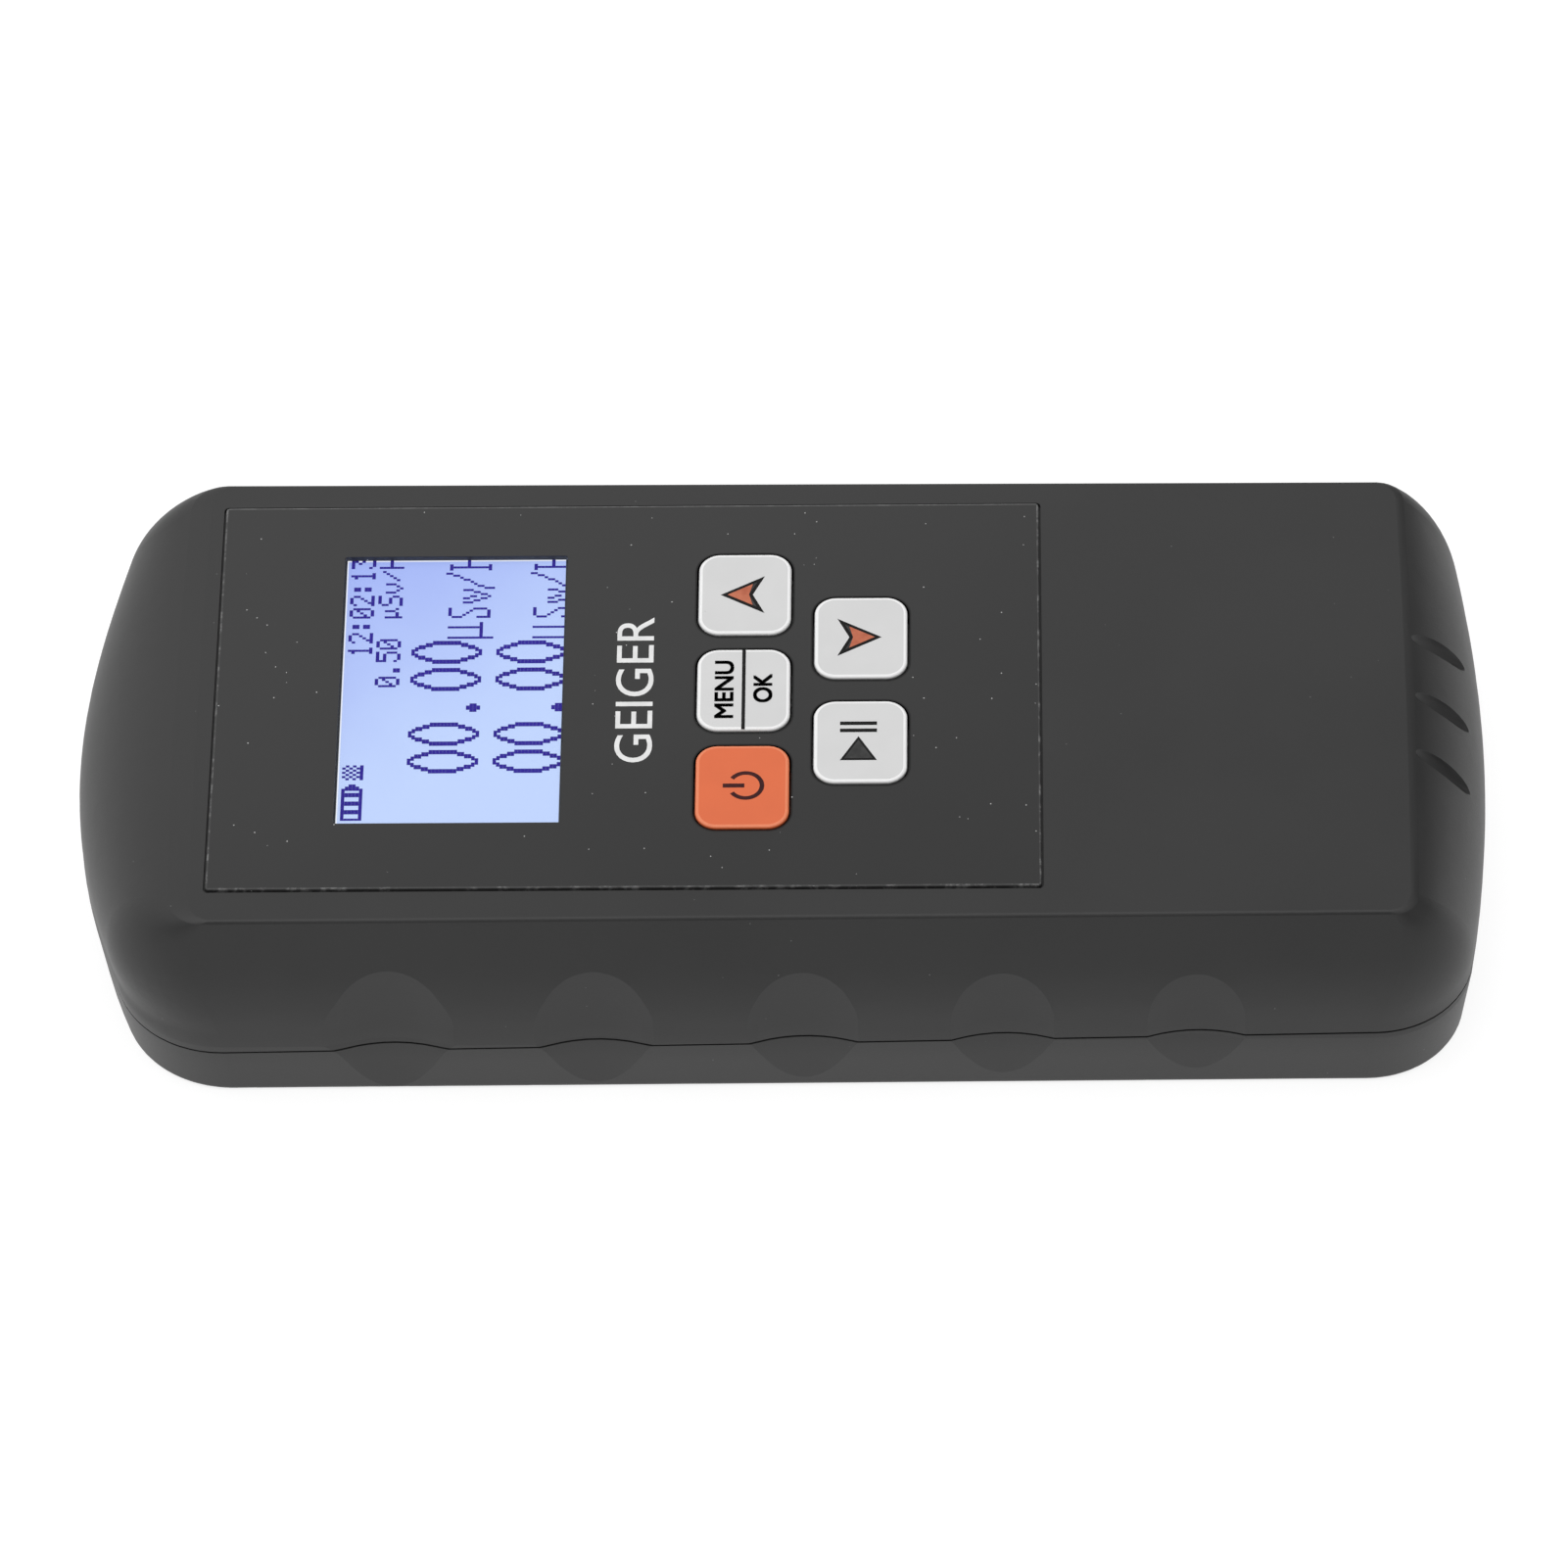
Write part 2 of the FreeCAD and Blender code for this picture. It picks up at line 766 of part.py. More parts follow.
def make_contact_plate(at_left, numbers):
    """Plate on the bay wall behind one cell or a pair, domed where it meets a cell's button."""
    x = bay_left + plate_gap if at_left else bay_right - plate_gap - plate_thickness
    low = cell_y(numbers[0]) - plate_half_width
    high = cell_y(numbers[-1]) + plate_half_width
    bottom = cell_z - plate_half_height
    pieces = [box(x, x + plate_thickness, low, high, bottom, cell_z + plate_half_height)]
    middle_x = x + plate_thickness / 2
    reach = cell_left if at_left else cell_left + cell_length
    for number in numbers:
        if (number == 2) == at_left:
            ends = sorted((middle_x, reach))
            pieces.append(rod_along_x(*ends, cell_y(number), cell_z, plate_dome_radius))
    return fuse_all(pieces)


def main():
    os.makedirs("parts", exist_ok=True)
    outer = outer_body()
    inner = inner_body()
    save("top_shell", make_top_shell(outer, inner))
    save("bottom_shell", make_bottom_shell(outer, inner))
    save("battery_door", make_battery_door(outer))
    save("front_overlay", make_overlay())
    save("display_window", make_display_window())
    save("display_glass", make_display_glass())
    save("display_frame", make_display_frame())
    save("display_ribbon", make_display_ribbon())
    for name, (x, y) in key_places.items():
        save("key_" + name, make_key(x, y))
        save("switch_" + name, make_switch(x, y))
        save("plunger_" + name, make_plunger(x, y))
    save("main_board", make_board())
    save("board_screws", make_board_screws())
    save("case_screws", make_case_screws())
    save("processor_chip", make_chip())
    save("step_up_coil", make_step_up_coil())
    save("tube_capacitor", make_tube_capacitor())
    save("buzzer", make_buzzer())
    save("geiger_tube", make_geiger_tube())
    save("tube_cap_front", make_tube_cap(tube_left, 1))
    save("tube_cap_rear", make_tube_cap(tube_left + tube_length, -1))
    save("tube_clip_front", make_tube_clip(tube_left + clip_inset))
    save("tube_clip_rear", make_tube_clip(tube_left + tube_length - clip_inset))
    for number in (1, 2, 3):
        save("battery_cell_" + str(number), make_cell(number))
        save("cell_spring_" + str(number), make_cell_spring(number))
    save("contact_plate_1", make_contact_plate(True, (1,)))
    save("contact_plate_2", make_contact_plate(True, (2, 3)))
    save("contact_plate_3", make_contact_plate(False, (1, 2)))
    save("contact_plate_4", make_contact_plate(False, (3,)))


main()
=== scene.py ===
import math

import bmesh
import bpy
from mathutils import Matrix, Vector


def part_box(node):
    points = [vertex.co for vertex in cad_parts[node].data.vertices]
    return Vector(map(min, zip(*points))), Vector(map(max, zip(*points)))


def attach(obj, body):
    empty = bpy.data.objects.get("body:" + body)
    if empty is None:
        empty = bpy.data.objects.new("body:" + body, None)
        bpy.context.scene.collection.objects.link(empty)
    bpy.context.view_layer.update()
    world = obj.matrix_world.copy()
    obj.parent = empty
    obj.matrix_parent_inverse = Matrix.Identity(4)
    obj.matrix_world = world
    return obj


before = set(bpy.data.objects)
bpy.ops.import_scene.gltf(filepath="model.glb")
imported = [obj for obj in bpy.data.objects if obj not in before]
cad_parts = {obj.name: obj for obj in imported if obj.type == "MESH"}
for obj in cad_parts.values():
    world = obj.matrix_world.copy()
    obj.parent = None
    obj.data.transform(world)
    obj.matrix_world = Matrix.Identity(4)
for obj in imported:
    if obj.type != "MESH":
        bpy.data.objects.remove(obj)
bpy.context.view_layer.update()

mm = 0.001
scene = bpy.context.scene
keyNames = ("up", "menu", "power", "down", "play")


class Value:
    # a socket that takes part in Python expressions
    def __init__(self, finish, socket):
        self.finish = finish
        self.socket = socket

    def maths(self, operation, first, second):
        return self.finish.node("Math", {"operation": operation}, {0: first, 1: second})

    def __add__(self, other):
        return self.maths("ADD", self, other)

    def __radd__(self, other):
        return self.maths("ADD", other, self)

    def __sub__(self, other):
        return self.maths("SUBTRACT", self, other)

    def __rsub__(self, other):
        return self.maths("SUBTRACT", other, self)

    def __mul__(self, other):
        return self.maths("MULTIPLY", self, other)

    def __rmul__(self, other):
        return self.maths("MULTIPLY", other, self)

    def __lt__(self, other):
        return self.maths("LESS_THAN", self, other)

    def __gt__(self, other):
        return self.maths("GREATER_THAN", self, other)

    def __abs__(self):
        return self.maths("ABSOLUTE", self, 0.0)

    def atLeast(self, least):
        return self.maths("MAXIMUM", self, least)

    def root(self):
        return self.maths("SQRT", self, 0.0)

    def fade(self, low, high):
        # 0 at low, 1 at high, smooth between
        settings = {"interpolation_type": "SMOOTHSTEP"}
        return self.finish.node("MapRange", settings, {0: self, 1: low, 2: high})


# the key caps' outline: how far their flange reaches, and the corners inside it
capShape = {"flange": 0.0007, "corner": 0.0023}
# how fast the painted light on the plastics grows towards the far sensor corner
cornerLightRise = {"alongX": -4, "alongY": 9}
# round specks: cells per speck width, and the speck's share of a cell
speckShape = {"spacing": 9, "size": 0.055}


class Finish:
    # one material; fixed numbers go on the shader's own sockets
    def __init__(self, name, **fixed):
        self.material = bpy.data.materials.new(name)
        self.material.use_nodes = True
        self.tree = self.material.node_tree
        self.shader = self.tree.nodes["Principled BSDF"]
        for socket, number in fixed.items():
            self.shader.inputs[socket.replace("_", " ")].default_value = number

    def node(self, kind, settings=None, values=None, out=0):
        made = self.tree.nodes.new("ShaderNode" + kind)
        for key, setting in (settings or {}).items():
            if key == "stops":
                self.rampStops(made.color_ramp, setting)
            else:
                setattr(made, key, setting)
        for key, value in (values or {}).items():
            if isinstance(value, Value):
                self.tree.links.new(value.socket, made.inputs[key])
            else:
                made.inputs[key].default_value = value
        return Value(self, made.outputs[out])

    def rampStops(self, ramp, stops):
        while len(ramp.elements) < len(stops):
            ramp.elements.new(1.0)
        for element, (place, colour) in zip(ramp.elements, stops):
            element.position = place
            element.color = colour

    def feed(self, socket, value):
        self.tree.links.new(value.socket, self.shader.inputs[socket])

    def place(self):
        return self.node("TexCoord", out=3)

    def axes(self):
        # the three coordinates, in metres
        split = self.node("SeparateXYZ", None, {0: self.place()})
        outputs = split.socket.node.outputs
        return [Value(self, outputs[n]) for n in range(3)]

    def noise(self, size, detail=2.0, rough=0.5):
        # size is the pattern's grain in millimetres
        values = {"Vector": self.place(), "Scale": 1.0 / (size * mm), "Detail": detail, "Roughness": rough}
        return self.node("TexNoise", None, values)

    def specks(self, size, share):
        # round specks of about size millimetres in a share of the cells
        values = {"Vector": self.place(), "Scale": 1.0 / (size * speckShape["spacing"] * mm)}
        near = self.node("TexVoronoi", None, values)
        pick = Value(self, near.socket.node.outputs["Color"])
        chance = self.node("SeparateColor", None, {0: pick})
        return (near < speckShape["size"]) * (chance < share)

    def inset(self, node):
        # how far inside a key cap's rounded outline, negative outside it
        low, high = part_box(node)
        x, y, z = self.axes()
        flange = capShape["flange"]
        corner = capShape["corner"]
        overX = (abs(x - (low.x + high.x) / 2) - ((high.x - low.x) / 2 - flange - corner)).atLeast(0.0)
        overY = (abs(y - (low.y + high.y) / 2) - ((high.y - low.y) / 2 - flange - corner)).atLeast(0.0)
        return corner - (overX * overX + overY * overY).root()

    def farCornerLight(self, start):
        # painted light: rises from 0 to 1 towards the far sensor corner
        x, y, z = self.axes()
        return (start + cornerLightRise["alongY"] * y + cornerLightRise["alongX"] * x).fade(0.0, 1.0)

    def tint(self, mask, under, over):
        return self.node("Mix", {"data_type": "RGBA"}, {0: mask, 6: under, 7: over}, out=2)

    def bump(self, height, depth, strength=1.0):
        # depth is the relief's height in millimetres
        values = {"Height": height, "Distance": depth * mm, "Strength": strength}
        self.feed("Normal", self.node("Bump", None, values))


def grey(level, alpha=1.0):
    return (level, level, level, alpha)


casePlasticLooks = {
    "tone": 0.017,
    "lightTone": 0.021,
    # painted light towards the far sensor corner: its tone, and how much of it
    "cornerLitTone": 0.038,
    "cornerLitShare": 0.6,
    # painted light from the floor round the base: its tone, and how much of it
    "baseLitTone": 0.040,
    "baseLitShare": 0.75,
    # heights between which the painted light from the floor grows towards the base
    "baseLitFrom": 0.010,
    "baseLitTo": 0.004,
    "grain": 0.22,
    "relief": 0.010,
    "rough": 0.40,
    "dust": 0.12,
}


def casePlastic():
    looks = casePlasticLooks
    finish = Finish("casePlastic", Specular_IOR_Level=0.42)
    cloud = finish.noise(26, 3.0)
    grain = finish.noise(looks["grain"], 2.0, 0.6)
    dust = finish.specks(0.16, 0.10)
    body = finish.tint(cloud.fade(0.35, 0.65), grey(looks["tone"]), grey(looks["lightTone"]))
    body = finish.tint(grain.fade(0.3, 0.8) * 0.25, body, grey(looks["lightTone"] * 1.25))
    # painted light: paler towards the far sensor corner, and round the base where light comes up from the
    # floor
    x, y, z = finish.axes()
    base = z.fade(looks["baseLitFrom"], looks["baseLitTo"])
    body = finish.tint(finish.farCornerLight(0.45) * looks["cornerLitShare"], body, grey(looks["cornerLitTone"]))
    # painted light from the floor, paler round the base
    body = finish.tint(base * looks["baseLitShare"], body, grey(looks["baseLitTone"]))
    finish.feed("Base Color", finish.tint(dust * 0.8, body, grey(looks["dust"])))
    finish.feed("Roughness", looks["rough"] + 0.10 * grain + 0.05 * cloud)
    finish.bump(grain + 0.3 * finish.noise(0.9, 1.0), looks["relief"])
    return finish.material


panelLooks = {
    "tone": 0.013,
    "lightTone": 0.016,
    # painted light towards the far sensor corner: its tone, and how much of it
    "cornerLitTone": 0.040,
    "cornerLitShare": 0.75,
    "rough": 0.44,
    # the line along the panel's edge, burrs with a painted highlight: its tone and width
    "rimTone": 0.16,
    "rimWidth": 0.00022,
    # painted shade: the dark line round each key, and its soft edge
    "shadeGapWidth": 0.00034,
    "shadeGapSoft": 0.00008,
    "shadeGapTone": 0.001,
    "dust": 0.65,
}


def panelFilm():
    looks = panelLooks
    finish = Finish("panelFilm", Specular_IOR_Level=0.40)
    low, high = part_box("front_overlay")
    x, y, z = finish.axes()
    # distance in from the panel's edge, for the line along it: burrs with a painted highlight, brighter on
    # the far side
    edgeX = (high.x - low.x) / 2 - abs(x - (high.x + low.x) / 2)
    edgeY = (high.y - low.y) / 2 - abs(y - (high.y + low.y) / 2)
    edge = finish.node("Math", {"operation": "MINIMUM"}, {0: edgeX, 1: edgeY})
    burr = finish.noise(1.6, 4.0, 0.8).fade(0.48, 0.66)
    # painted highlight: the edge line is lighter along the far side
    farSide = y > (high.y - 0.002)
    rim = (edge < looks["rimWidth"]) * (0.15 + 0.85 * burr + 0.45 * farSide)
    cloud = finish.noise(34, 3.0)
    grain = finish.noise(0.13, 2.0, 0.6)
    dust = finish.specks(0.13, 0.30)
    film = finish.tint(cloud.fade(0.35, 0.65), grey(looks["tone"]), grey(looks["lightTone"]))
    # painted light, paler towards the far sensor corner
    film = finish.tint(finish.farCornerLight(0.5) * looks["cornerLitShare"], film, grey(looks["cornerLitTone"]))
    film = finish.tint(rim, film, grey(looks["rimTone"]))
    # painted shade in the gap round each key
    for name in keyNames:
        gap = finish.inset("key_" + name).fade(-looks["shadeGapWidth"] - looks["shadeGapSoft"], -looks["shadeGapWidth"])
        film = finish.tint(gap, film, grey(looks["shadeGapTone"]))
    finish.feed("Base Color", finish.tint(dust, film, grey(looks["dust"])))
    finish.feed("Roughness", looks["rough"] + 0.08 * grain + 0.05 * cloud)
    finish.bump(grain, 0.004)
    return finish.material


keyLooks = {
    "rough": 0.42,
    # painted shade down the cap's sides: its strength and tone
    "skirtShade": 0.8,
    "skirtShadeTone": 0.02,
    # how far below the top the painted shade on the side starts, and where it is dark
    "skirtShadeFrom": 0.00018,
    "skirtShadeTo": 0.0004,
    # painted highlight inside the cap's edge: its strength, where it starts and ends, and its soft edge
    "rim": 0.8,
    "rimHighlightFrom": 0.00010,
    "rimHighlightTo": 0.00038,
    "rimHighlightSoft": 0.00005,
    "dust": 0.08,
}


def keyPlastic(name, node, tone, darkTone, rimTone):
    # satin cap with a painted highlight inside its edge, painted shade down its sides
    looks = keyLooks
    finish = Finish(name, Specular_IOR_Level=0.45)
    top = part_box(node)[1].z
    x, y, z = finish.axes()
    inset = finish.inset(node)
    # painted highlight inside the cap's edge
    rimStart = inset.fade(looks["rimHighlightFrom"] - looks["rimHighlightSoft"], looks["rimHighlightFrom"])
    rim = rimStart * inset.fade(looks["rimHighlightTo"] + looks["rimHighlightSoft"], looks["rimHighlightTo"])
    # painted shade down the cap's sides
    side = z.fade(top - looks["skirtShadeFrom"], top - looks["skirtShadeTo"])
    cloud = finish.noise(5, 3.0)
    grain = finish.noise(0.12, 2.0)
    cap = finish.tint(cloud.fade(0.3, 0.7) * 0.5, tone, darkTone)
    cap = finish.tint(rim * looks["rim"], cap, rimTone)
    cap = finish.tint(side * looks["skirtShade"], cap, grey(looks["skirtShadeTone"]))
    finish.feed("Base Color", finish.tint(finish.specks(0.10, 0.10) * 0.5, cap, grey(looks["dust"])))
    finish.feed("Roughness", looks["rough"] + 0.1 * grain)
    finish.bump(grain, 0.004)
    return finish.material


displayLooks = {
    "low": (0.33, 0.42, 0.88, 1.0),
    "high": (0.50, 0.63, 0.95, 1.0),
    "rim": (0.95, 0.97, 1.0, 1.0),
    # how far from the middle the bright rim starts: sensor end, near side, far side
    "rims": (0.01158, 0.01803, 0.01846),
    "glow": 0.82,
}


def displayField():
    # backlit field, brighter towards the near side, with a dark surround
    looks = displayLooks
    finish = Finish("displayField", Roughness=0.35, Emission_Strength=looks["glow"])
    centre = windowCentre()
    x, y, z = finish.axes()
    half = Vector((windowLooks["lit"][0], windowLooks["lit"][1], 0)) * mm / 2
    centre = centre + Vector((windowLooks["shift"][0], windowLooks["shift"][1], 0)) * mm
    inX = (half.x - abs(x - centre.x)).fade(0.0, 0.00005)
    inY = (half.y - abs(y - centre.y)).fade(0.0, 0.00005)
    lit = inX * inY
    across = (y - (centre.y - half.y)) * (1 / (2 * half.y))
    down = (x - (centre.x - half.x)) * (1 / (2 * half.x))
    shade = (0.75 * across - 0.35 * down + 0.18 * finish.noise(9, 2.0)).fade(0.05, 0.95)
    endRim, nearRim, farRim = looks["rims"]
    middle = windowCentre()
    rim = (x < (middle.x - endRim)) + (y < (middle.y - nearRim)) + (y > (middle.y + farRim))
    field = finish.tint(shade, looks["high"], looks["low"])
    field = finish.tint(0.8 * rim, field, looks["rim"])
    dim = finish.tint(0.72, field, grey(0.0))
    finish.feed("Base Color", finish.tint(lit, grey(0.012), dim))
    finish.feed("Emission Color", finish.tint(lit, grey(0.0), field))
    return finish.material


def plainFinish(name, tone, lightTone, size=3.0, rough=0.4, relief=0.004, grain=0.2, **fixed):
    # a mottled tone with fine grain, for the small parts
    finish = Finish(name, **fixed)
    cloud = finish.noise(size, 3.0)
    fine = finish.noise(grain, 2.0)
    finish.feed("Base Color", finish.tint(cloud.fade(0.3, 0.7), tone, lightTone))
    finish.feed("Roughness", rough + 0.12 * fine + 0.06 * cloud)
    finish.bump(fine, relief)
    return finish.material


def clearWindow():
    # thin clear plastic, with faint smears
    finish = Finish("clearWindow", Base_Color=(0.20, 0.25, 0.35, 1.0), Alpha=0.035, IOR=1.46)
    finish.feed("Roughness", 0.05 + 0.10 * finish.noise(4, 3.0).fade(0.55, 0.8))
    return finish.material


def pieceFrom(name, mesh, body, material):
    piece = bpy.data.objects.new(name, mesh)
    scene.collection.objects.link(piece)
    mesh.materials.clear()
    mesh.materials.append(material)
    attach(piece, body)
    return piece


def meshOf(name, build):
    mesh = bpy.data.meshes.new(name)
    made = bmesh.new()
    build(made)
    made.normal_update()
    made.to_mesh(mesh)
    made.free()
    return mesh


def slab(made, points, low, high):
    # upright prism over a flat outline
    bottom = [made.verts.new((x, y, low)) for x, y in points]
    top = [made.verts.new((x, y, high)) for x, y in points]
    made.faces.new(top)
    made.faces.new(bottom[::-1])
    count = len(points)
    for n in range(count):
        following = (n + 1) % count
        made.faces.new((bottom[n], bottom[following], top[following], top[n]))


def rectangle(x0, y0, x1, y1):
    return [(x0, y0), (x1, y0), (x1, y1), (x0, y1)]


def finishSlabs(made):
    bmesh.ops.recalc_face_normals(made, faces=made.faces)


windowLooks = {"lit": (23.5, 37.5), "shift": (0.0, 0.05), "dotShift": (0.1, 0.75), "dotSpan": (23.5, 36.8),
               "columns": 125, "rows": 62, "dotFill": 0.98, "dotLift": 0.004, "dotHeight": 0.02}


def windowCentre():
    low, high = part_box("display_window")
    return (low + high) / 2


# 5 x 7 characters, one string of dots per row
glyphs = {
    "0": ["01110", "10001", "10011", "10101", "11001", "10001", "01110"],
    "1": ["00100", "01100", "00100", "00100", "00100", "00100", "01110"],
    "2": ["01110", "10001", "00001", "00010", "00100", "01000", "11111"],
    "3": ["11111", "00010", "00100", "00010", "00001", "10001", "01110"],
    "5": ["11111", "10000", "11110", "00001", "00001", "10001", "01110"],
    ":": ["00000", "01100", "01100", "00000", "01100", "01100", "00000"],
    ".": ["00000", "00000", "00000", "00000", "00000", "01100", "01100"],
    "u": ["00000", "00000", "10010", "10010", "10010", "11101", "10000"],
    "S": ["01111", "10000", "10000", "01110", "00001", "00001", "11110"],
    "v": ["00000", "00000", "10001", "10001", "10001", "01010", "00100"],
    "/": ["00000", "00001", "00010", "00100", "01000", "10000", "00000"],
    "H": ["10001", "10001", "10001", "11111", "10001", "10001", "10001"],
    " ": ["00000"] * 7,
}


def writeSmall(dots, text, column, row):
    for place, character in enumerate(text):
        for v, line in enumerate(glyphs[character]):
            for u, dot in enumerate(line):
                if dot == "1":
                    dots.add((column + 6 * place + u, row + v))


def bigZero(dots, column, row):
    # hollow oval, 11 dots wide and 20 tall, drawn two dots thick
    inset = [4, 3, 2, 2, 1, 1] + [0] * 8 + [1, 1, 2, 2, 3, 4]
    for v, u in enumerate(inset):
        for near in (u, u + 1):
            dots.add((column + near, row + v))
            dots.add((column + 10 - near, row + v))


def bigReading(dots, row):
    for column in (22, 35, 61, 74):
        bigZero(dots, column, row)
    for v, width in enumerate((1, 2, 2, 1)):
        for u in range(-width, width):
            dots.add((53 + u, row + 16 + v))
    bigUnit(dots, 86, row + 10)


def strokeDots(dots, points):
    for (u0, v0), (u1, v1) in zip(points, points[1:]):
        steps = max(abs(u1 - u0), abs(v1 - v0), 1)
        for step in range(steps + 1):
            share = step / steps
            dots.add((round(u0 + (u1 - u0) * share), round(v0 + (v1 - v0) * share)))


def bigUnit(dots, column, row):
    # the unit beside a reading, drawn in single-dot strokes
    strokes = [
        [(0, 0), (0, 12)], [(1, 9), (3, 9), (5, 8)], [(5, 0), (5, 9)], [(6, 9), (7, 9)],
        [(14, 0), (11, 0), (10, 1), (10, 3), (14, 7), (14, 9), (13, 11), (10, 11), (10, 8)],
        [(17, 4), (17, 6), (20, 11), (23, 6), (23, 4)], [(19, 4), (20, 7)],
        [(24, 12), (24, 10), (31, 0), (31, -1)],
        [(34, 0), (34, 11)], [(33, 0), (35, 0)], [(33, 11), (35, 11)], [(35, 5), (40, 5)],
    ]
    for points in strokes:
        strokeDots(dots, [(column + u, row + v) for u, v in points])


def batterySign(dots):
    strokeDots(dots, [(0, 1), (14, 1), (14, 6), (0, 6), (0, 1)])
    for u in (3, 4, 7, 8, 11, 12, 15):
        strokeDots(dots, [(u, 2), (u, 5)])
    strokeDots(dots, [(16, 3), (16, 4)])
    for v in range(1, 6):
        for u in range(19, 26):
            if (u + v) % 2:
                dots.add((u, v))
    strokeDots(dots, [(19, 6), (25, 6)])


def displayDots():
    dots = set()
    batterySign(dots)
    writeSmall(dots, "12:02:13", 78, 1)
    writeSmall(dots, "0.50", 63, 9)
    writeSmall(dots, "uSv/H", 96, 9)
    bigReading(dots, 19)
    bigReading(dots, 43)
    columns = windowLooks["columns"]
    rows = windowLooks["rows"]
    kept = [dot for dot in sorted(dots) if 0 <= dot[0] < columns and dot[1] < rows]
    centre = windowCentre()
    length, width = (size * mm for size in windowLooks["dotSpan"])
    startX = centre.x - length / 2 + windowLooks["dotShift"][0] * mm
    startY = centre.y - width / 2 + windowLooks["dotShift"][1] * mm
    pitchV = length / (rows + 0.3)
    pitchU = width / (columns + 0.7)
    halfV = pitchV * windowLooks["dotFill"] / 2
    halfU = pitchU * windowLooks["dotFill"] / 2
    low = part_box("display_glass")[1].z + windowLooks["dotLift"] * mm
    high = low + windowLooks["dotHeight"] * mm

    def build(made):
        for u, v in kept:
            x = startX + (v + 0.5) * pitchV
            y = startY + (u + 0.5) * pitchU
            slab(made, rectangle(x - halfV, y - halfU, x + halfV, y + halfU), low, high)
        finishSlabs(made)

    violet = plainFinish("displayInk", (0.008, 0.003, 0.16, 1), (0.012, 0.005, 0.20, 1), 6.0, 0.5,
                         Specular_IOR_Level=0.1, Emission_Color=(0.10, 0.015, 1.0, 1), Emission_Strength=0.12)
    return pieceFrom("display_dots", meshOf("display_dots", build), "case", violet)


printLooks = {"thickness": 0.012, "lift": 0.003, "outline": 0.36}


def keyTop(node):
    low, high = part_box(node)
    return Vector(((low.x + high.x) / 2, (low.y + high.y) / 2, high.z))


def printPiece(name, outlines, top, layer, body, material):
    # flat outlines in millimetres about a key's middle, printed on its top
    low = top.z + (printLooks["lift"] + layer * printLooks["thickness"]) * mm
    high = low + printLooks["thickness"] * mm

    def build(made):
        for points in outlines:
            slab(made, [(top.x + x * mm, top.y + y * mm) for x, y in points], low, high)
        finishSlabs(made)

    return pieceFrom(name, meshOf(name, build), body, material)


def inner(points, gap):
    # the outline moved in by gap, for a simple polygon listed anticlockwise
    moved = []
    count = len(points)
    for n in range(count):
        before, here, after = (Vector(points[(n + k) % count]) for k in (-1, 0, 1))
        into = (here - before).normalized()
        away = (after - here).normalized()
        normalIn = Vector((-into.y, into.x))
        normalOut = Vector((-away.y, away.x))
        middle = (normalIn + normalOut).normalized()
        reach = gap / max(0.25, middle.dot(normalIn))
        moved.append(tuple(here + middle * reach))
    return moved


arrowShape = {"tip": 2.45, "tail": 2.25, "notch": 0.98, "spread": 2.6, "fill": 0.14,
              "middles": {-1: (-0.15, -0.13), 1: (-0.25, -0.02)}}


def arrowPrint(name, node, body, point, inks):
    # point is -1 for an arrow towards the sensor end, 1 towards the slots
    shape = arrowShape
    top = keyTop(node)
    middleX, middleY = shape["middles"][point]
    tail = shape["tail"]
    spread = shape["spread"]
    outline = [(shape["tip"], 0), (-tail, spread), (-shape["notch"], 0), (-tail, -spread)]
    outline = [(middleX + point * x, middleY + point * y) for x, y in outline]
    wings = inner(outline, printLooks["outline"])
    tip, firstTail, notch, secondTail = wings
    # coloured kite between the tip and the notch, grey wings either side
    share = shape["fill"]
    firstSide = tuple(tip[k] + (firstTail[k] - tip[k]) * (1 - share) for k in (0, 1))
    secondSide = tuple(tip[k] + (secondTail[k] - tip[k]) * (1 - share) for k in (0, 1))
    kite = [tip, firstSide, notch, secondSide]
    printPiece(name + "_outline", [outline], top, 0, body, inks["dark"])
    printPiece(name + "_wings", [wings], top, 1, body, inks["grey"])
    printPiece(name + "_fill", [kite], top, 2, body, inks["salmon"])


def arc(centre, radius, start, end, steps):
    return [(centre[0] + radius * math.cos(start + (end - start) * n / steps),
             centre[1] + radius * math.sin(start + (end - start) * n / steps)) for n in range(steps + 1)]


powerShape = {"centre": (0.36, 0.08), "radius": 1.72, "stroke": 0.48, "gap": 34, "bar": (-2.05, 0.23),
              "barExtra": 0.03, "steps": 40}


def powerPrint(inks):
    shape = powerShape
    gap = math.radians(shape["gap"])
    start = -math.pi + gap
    end = math.pi - gap
    outer = shape["radius"] + shape["stroke"] / 2
    innerRadius = shape["radius"] - shape["stroke"] / 2
    steps = shape["steps"]
    ring = arc(shape["centre"], outer, start, end, steps)
    ring += arc(shape["centre"], innerRadius, end, start, steps)
    half = shape["stroke"] / 2 + shape["barExtra"]
    y = shape["centre"][1]
    x0, x1 = shape["bar"]
    bar = rectangle(x0, y - half, x1, y + half)
    printPiece("power_sign", [ring, bar], keyTop("key_power"), 0, "power_key", inks["maroon"])


playShape = {"bars": (1.25, 2.23), "bar": 0.48, "half": 1.95, "apex": 0.68, "base": -2.62, "middle": -0.20,
             "outline": 0.26}


def playPrint(inks):
    shape = playShape
    top = keyTop("key_play")
    bars = []
    low = shape["middle"] - shape["half"]
    high = shape["middle"] + shape["half"]
    for y in shape["bars"]:
        bars.append(rectangle(low, y, high, y + shape["bar"]))
    triangle = [(low, shape["base"]), (high, shape["base"]), (shape["middle"], shape["apex"])]
    printPiece("pause_bars", bars, top, 0, "play_key", inks["dark"])
    printPiece("play_outline", [triangle], top, 0, "play_key", inks["dark"])
    filling = inner(triangle, shape["outline"])
    printPiece("play_fill", [filling], top, 1, "play_key", inks["grey"])


